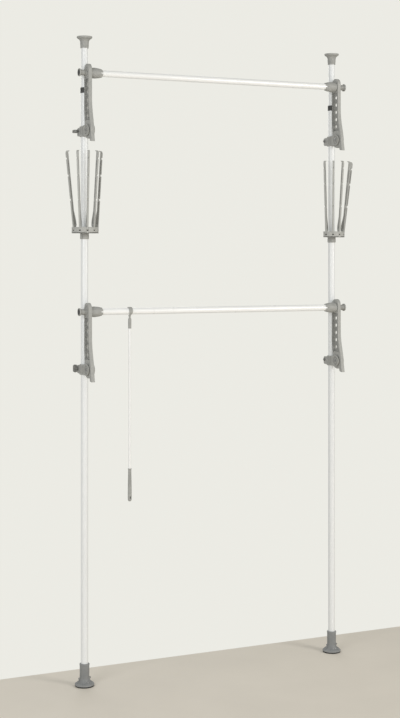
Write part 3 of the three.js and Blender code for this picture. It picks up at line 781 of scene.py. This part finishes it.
def fan_hub():
    collar = turned([
        (14.3, 0), (19.4, 0, 0.5), (20, 1, 0.5), (20, 23, 0.8), (18.8, 24, 0.6), (14.3, 24),
    ], 0.4, 64)
    floor = prism(sector(16, WALL_OUTER, 78), 0, 5, 0.5, plane="flat")
    wall = prism(fillet(sector(WALL_INNER, WALL_OUTER, 78), 0.8), 0, 24, 0.9, 3, plane="flat")
    webs = []
    cuts = []
    for i in range(BLADE_COUNT + 1):
        angle = (i - BLADE_COUNT / 2) * BLADE_PITCH * 0.93
        webs.append(spin(block((-1, 1), (-46, -18), (4, 14), 0.3), angle))
    for i in range(BLADE_COUNT):
        angle = (i - (BLADE_COUNT - 1) / 2) * BLADE_PITCH
        slot = block((-3.8, 3.8), (-70, -37), (9, 30), 0)
        cuts.append(spin(slot, angle))
        cuts.append(spin(shift(rod_x(2.3, -8, 8, 24), 0, -HINGE_RADIUS, HINGE_LIFT), angle))
    for z in (3.4, 20.6):
        groove = turned([(WALL_OUTER - 0.5, z - 0.4), (WALL_OUTER + 2, z - 0.4), (WALL_OUTER + 2, z + 0.4),
                         (WALL_OUTER - 0.5, z + 0.4)], 0, 96, 1)
        cuts.append(groove)
    return softened(carved(collar, [floor, wall, *webs], cuts), 0.3)


def fan_collar():
    shell = turned([
        (14.3, -22), (15.6, -22, 0.4), (17, -20, 0.8), (17, -7, 0.3), (16.3, -6.4, 0.2), (16.3, -5, 0.2),
        (17, -4.4, 0.3), (17, -0.3, 0.4), (14.3, -0.3),
    ], 0.3, 64)
    slits = [spin(block((-0.8, 0.8), (-20, -10), (-23, -9), 0), (i + 0.5) * 90) for i in range(4)]
    return softened(carved(shell, (), slits), 0.2)


def blade():
    """A blade about its hinge pin, standing straight up: forward is the side that faces out."""
    half = 4.5
    points = arc((0, 0), half, 180, 360, 14)
    for height in (112, 205, 270):
        points += [(half, height - 4.4, 0.6), (half - 4, height - 2, 0.5),
                   (half - 4, height + 2, 0.5), (half, height + 4.4, 0.6)]
    points += [(half, BLADE_LENGTH - 10, 8), (half - 2, BLADE_LENGTH - 3, 3),
               (half - 6, BLADE_LENGTH - 0.4, 3),
               (-half - 6, BLADE_LENGTH, 0.8), (-half - 6, BLADE_LENGTH - 2.4, 0.8),
               (-half + 0.5, BLADE_LENGTH - 5, 2.5), (-half, BLADE_LENGTH - 12, 3), (-half, 70, 12),
               (-half - 6, 30, 9), (-half - 6, 14, 2)]
    spine = prism(fillet(points, 1), -3.5, 3.5, 1.0, 3)
    panel = fillet([(2.2, 16), (2.2, 104), (-2.4, 104), (-2.4, 62), (-7.6, 30), (-7.6, 20)], 1.4)
    panels = [panel]
    for low, high in ((120, 197), (213, 262)):
        panels.append(fillet([(2.2, low), (2.2, high), (-2.4, high), (-2.4, low)], 1.4))
    cuts = []
    for sign in (-1, 1):
        low, high = sorted((sign * 2.3, sign * 5))
        cuts += [prism(outline, low, high, 0) for outline in panels]
    pin = along_x(turned([(0, -6.8), (1.9, -6.8), (1.9, 6.8), (0, 6.8)], 0.3, 24, 2))
    return softened(carved(carved(spine, (), cuts), [pin]), 0.3)


hub_solid = fan_hub()
collar_solid = fan_collar()
blade_solid = blade()

for name, side in SIDES.items():
    pole = middle(f"{name}_lower_tube")
    fan_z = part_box(f"{name}_fan_hub")[0].z
    place(collar_solid, f"{name}_fan_slide_collar", f"{name}_fan_slider", "grey_plastic",
          at(pole.x, pole.y, fan_z), f"{name}_fan_collar")
    turn = math.radians(side * FAN_TURN)
    place(hub_solid, f"{name}_fan_hub_shell", f"{name}_fan", "grey_plastic",
          at(pole.x, pole.y, fan_z, turn), f"{name}_fan_hub")
    for i in range(BLADE_COUNT):
        number = i + 1
        hinge = Vector(joints[f"{name}_blade_{number}_fold"]["pos_m"])
        angle = turn + math.radians((i - (BLADE_COUNT - 1) / 2) * BLADE_PITCH)
        from_outside = i if side < 0 else BLADE_COUNT - 1 - i
        lean = Matrix.Rotation(math.radians(BLADE_LEANS[from_outside]), 4, "X")
        place(blade_solid, f"{name}_blade_spoke_{number}", f"{name}_blade_{number}", "blade_plastic",
              at(hinge.x, hinge.y, hinge.z, angle) @ lean, f"{name}_fan_blade_{number}")


# ---------------------------------------------------------------- pull rod

RAIL_RADIUS = 12.5
FERRULE_TOP = -23
FERRULE_LOW = -67


def strap():
    """The hook's band over the rail: a swept strip that narrows to a round tang."""
    middle_radius = RAIL_RADIUS + GAP + 1.9
    stations = []
    for i in range(49):
        share = i / 48
        angle = 200 - 275 * share
        stations.append((arc((0, 0), middle_radius, angle, angle, 1)[0], angle, share))
    bm = bmesh.new()
    rings = []
    for (forward, up), angle, share in stations:
        narrowing = max(0, (share - 0.72) / 0.28)
        half = 7 - 3.2 * narrowing * narrowing * (3 - 2 * narrowing)
        thick = 1.6 + 0.25 * math.sin(math.pi * share)
        if share < 0.08:
            half *= 0.8 + 2.5 * share
        outward = Vector((0, -math.cos(math.radians(angle)), math.sin(math.radians(angle))))
        centre = Vector((0, -forward, up))
        ring = []
        for k in range(16):
            a = 2 * math.pi * k / 16
            c, s = math.cos(a), math.sin(a)
            x = half * math.copysign(abs(c) ** 0.35, c)
            t = thick * math.copysign(abs(s) ** 0.6, s)
            ring.append(bm.verts.new(centre + Vector((x, 0, 0)) + outward * t))
        rings.append(ring)
    for low, high in zip(rings, rings[1:]):
        for k in range(16):
            m = (k + 1) % 16
            bm.faces.new((low[k], low[m], high[m], high[k]))
    bm.faces.new(rings[0])
    bm.faces.new(rings[-1])
    band = to_mesh(bm)
    neck_outline = fillet([
        (-5, -14.4), (5, -14.4), (4.6, -18.5), (2.4, -22), (-2.4, -22), (-4.6, -18.5),
    ], 1.4)
    neck = prism(neck_outline, -3.8, 3.8, 1.2, 3)
    tang = turned([(0, -35), (2.2, -35), (2.2, -19), (0, -19)], 0.4, 32)
    return softened(carved(band, [neck, tang]), 0.3)


def ferrule():
    return turned([
        (5.3, FERRULE_LOW), (5.9, FERRULE_LOW, 0.2), (6.3, FERRULE_LOW + 0.8, 0.4),
        (6.3, FERRULE_LOW + 3, 0.3),
        (5.95, FERRULE_LOW + 3.6, 0.3), (6.2, FERRULE_LOW + 4.6, 0.4), (6.4, FERRULE_TOP - 9, 4),
        (3.6, FERRULE_TOP - 0.6, 0.6), (3.2, FERRULE_TOP, 0.3), (2.5, FERRULE_TOP),
        (2.5, FERRULE_TOP - 12.6),
        (0, FERRULE_TOP - 12.6), (0, FERRULE_TOP - 24), (5.3, FERRULE_TOP - 24),
    ], 0.3, 56)


def grip(length, depth):
    """The pull grip, from its closed end at Z = 0 up to its lipped mouth."""
    shell = turned([
        (0, 0), (3.6, 0.3, 1.5), (6.6, 3, 3), (7.6, 10, 8), (7.7, 34, 20), (6.9, 80, 30),
        (6.1, length - 9, 6),
        (6.2, length - 4, 2), (7.2, length - 2.4, 0.8), (7.2, length - 0.6, 0.5), (6.8, length, 0.4),
        (5.3, length, 0.2), (5.3, length - depth), (0, length - depth),
    ], 0.5, 56, 6)
    slot_outline = fillet([(-2, 9), (2, 9), (2, 20), (-2, 20)], 1.99, 6)
    slot = spin(prism(slot_outline, -12, 12, 0), 90)
    rings = []
    for i in range(7):
        z = 30 + i * 6
        rings.append(turned([(7.25, z - 0.5), (9, z - 0.5), (9, z + 0.5), (7.25, z + 0.5)], 0, 56, 1))
    return softened(carved(shell, (), [slot, *rings]), 0.3)


hang = Vector(joints["pull_rod_hang"]["pos_m"])
at_hang = at(hang.x, hang.y, hang.z)
place(strap(), "pull_rod_hook_strap", "pull_rod", "grey_plastic", at_hang, "pull_rod_hook")
place(ferrule(), "pull_rod_ferrule_sleeve", "pull_rod", "grey_plastic", at_hang, "pull_rod_ferrule")
low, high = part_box("pull_rod_tube")
rod_length = (high.z - low.z) / MM
rod = turned([(0, 0), (5, 0), (5, rod_length), (0, rod_length)], 0.4, 40)
place(rod, "pull_rod_shaft", "pull_rod", "white_rail", at(hang.x, hang.y, low.z), "pull_rod_tube")
grip_low, grip_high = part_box("pull_rod_grip")
grip_length = (grip_high.z - grip_low.z) / MM
place(grip(grip_length, 20.3), "pull_rod_grip_sleeve", "pull_rod", "grey_plastic",
      at(hang.x, hang.y, grip_low.z), "pull_rod_grip")


# ---------------------------------------------------------------- floor, light and camera

FLOOR_REACH = 6
FLOOR_BEHIND = 0.24


def floor():
    """A plain floor that ends a little behind the poles, where the room's wall would stand."""
    bm = bmesh.new()
    corners = [(-FLOOR_REACH, -FLOOR_REACH), (FLOOR_REACH, -FLOOR_REACH),
               (FLOOR_REACH, FLOOR_BEHIND), (-FLOOR_REACH, FLOOR_BEHIND)]
    bm.faces.new([bm.verts.new((x, y, 0)) for x, y in corners])
    return to_mesh(bm)


ground = bpy.data.objects.new("floor", floor())
ground.data.materials.append(coat("floor", shade(0.90, 0.87, 0.82), 0.6, (400, 0.03), (3, 0.05)))
scene.collection.objects.link(ground)
ground.location.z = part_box("left_foot_pad")[0].z


def studio():
    """A pale room: an even backdrop behind the object, and a softer light from all round."""
    world = bpy.data.worlds.new("studio")
    world.use_nodes = True
    nodes, links = world.node_tree.nodes, world.node_tree.links
    around = nodes["Background"]
    around.inputs["Color"].default_value = shade(0.94, 0.94, 0.92)
    around.inputs["Strength"].default_value = 0.5
    backdrop = nodes.new("ShaderNodeBackground")
    backdrop.inputs["Color"].default_value = shade(0.925, 0.922, 0.895)
    seen = nodes.new("ShaderNodeLightPath")
    choice = nodes.new("ShaderNodeMixShader")
    links.new(seen.outputs["Is Camera Ray"], choice.inputs["Fac"])
    links.new(around.outputs["Background"], choice.inputs[1])
    links.new(backdrop.outputs["Background"], choice.inputs[2])
    links.new(choice.outputs["Shader"], nodes["World Output"].inputs["Surface"])
    return world


scene.world = studio()
scene.view_settings.view_transform = "Standard"


def soft_light(name, where, target, size, power, colour):
    data = bpy.data.lights.new(name, "AREA")
    data.shape = "RECTANGLE"
    data.size, data.size_y = size
    data.energy = power
    data.color = colour
    lamp = bpy.data.objects.new(name, data)
    scene.collection.objects.link(lamp)
    lamp.location = where
    lamp.rotation_euler = (Vector(target) - Vector(where)).to_track_quat("-Z", "Y").to_euler()


soft_light("key", (2.8, -4.4, 2.6), (0, 0, 1.3), (1.6, 2.4), 110, (1.0, 0.985, 0.96))
soft_light("fill", (-4.2, -3.0, 2.2), (0, 0, 1.2), (2.5, 2.5), 90, (0.95, 0.97, 1.0))
soft_light("back", (0.5, 4.0, 3.2), (0, 0, 1.4), (3, 2), 30, (1, 1, 1))

camera_data = bpy.data.cameras.new("camera")
camera_data.lens = 70.479
camera_data.shift_y = -0.14391
camera = bpy.data.objects.new("camera", camera_data)
scene.collection.objects.link(camera)
camera.location = (-2.453, -5.062, 1.6562)
camera.rotation_euler = (math.radians(90), 0, math.radians(-25.204))
camera_data.clip_end = 60
scene.camera = camera
